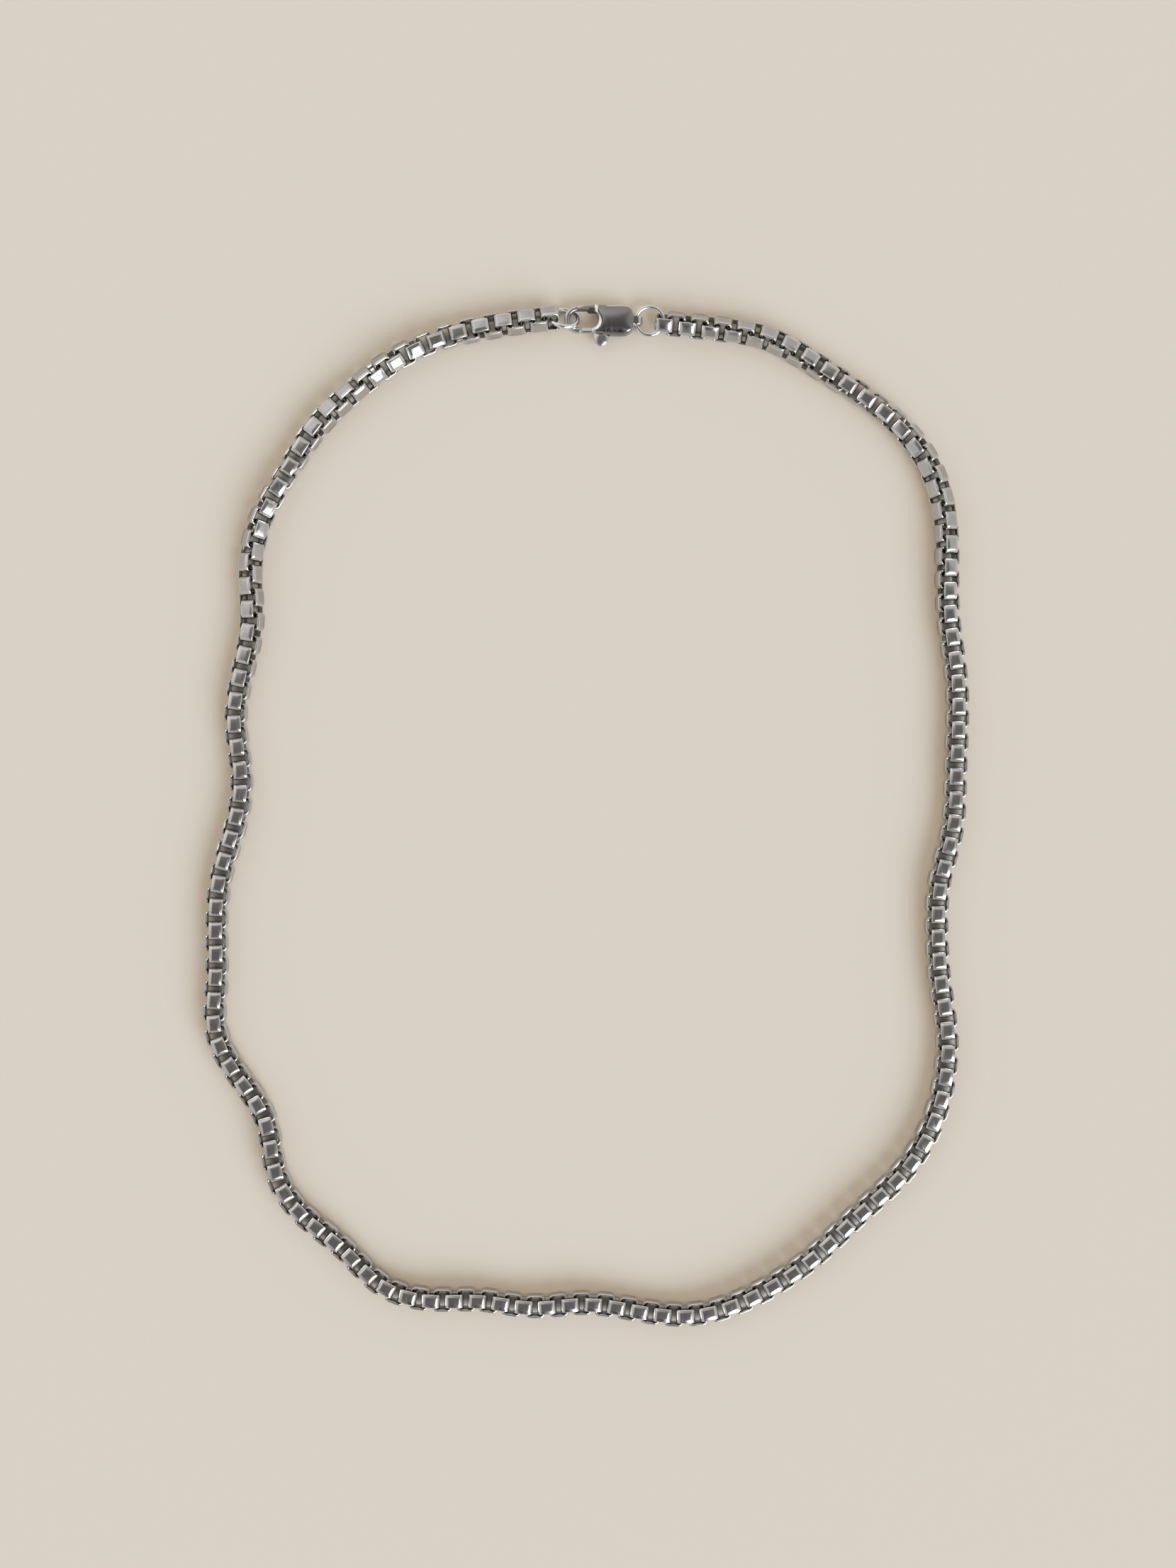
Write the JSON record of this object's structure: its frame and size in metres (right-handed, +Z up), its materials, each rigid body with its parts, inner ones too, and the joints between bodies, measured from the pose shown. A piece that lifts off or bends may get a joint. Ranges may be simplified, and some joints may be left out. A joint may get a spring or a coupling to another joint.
{
  "type": "box chain necklace",
  "caption": "Polished steel box chain necklace, closed by a lobster clasp and a jump ring at each end, lying flat as one open loop for the neck.",
  "frame": {"origin": "middle of the underside: halfway along the loop both ways, on the surface that it lies on", "axes": "+Y runs up the loop towards the clasp, +X to the right with the clasp's lug on the right of its hook, +Z up from the surface"},
  "size_m": [0.1438, 0.192, 0.0049],
  "materials": {
    "chain_steel": "polished",
    "ring_steel": "polished",
    "clasp_steel": "polished",
    "lever_steel": "polished",
    "pin_steel": "satin"
  },
  "bodies": {
    "necklace": {"box_chain": "chain_steel", "ring_left": "ring_steel", "ring_right": "ring_steel", "clasp_body": "clasp_steel", "lever_pin": "pin_steel"},
    "lever": {"clasp_lever": "lever_steel"}
  },
  "joints": [
    {"name": "lever_hinge", "type": "hinge", "parent": "necklace", "child": "lever", "pos_m": [0.00491, 0.09161, 0.0019], "axis": [0, 0, -1], "range_deg": [0, 18], "stiffness_Nm_per_rad": 0.01, "springref_deg": -8.59}
  ]
}
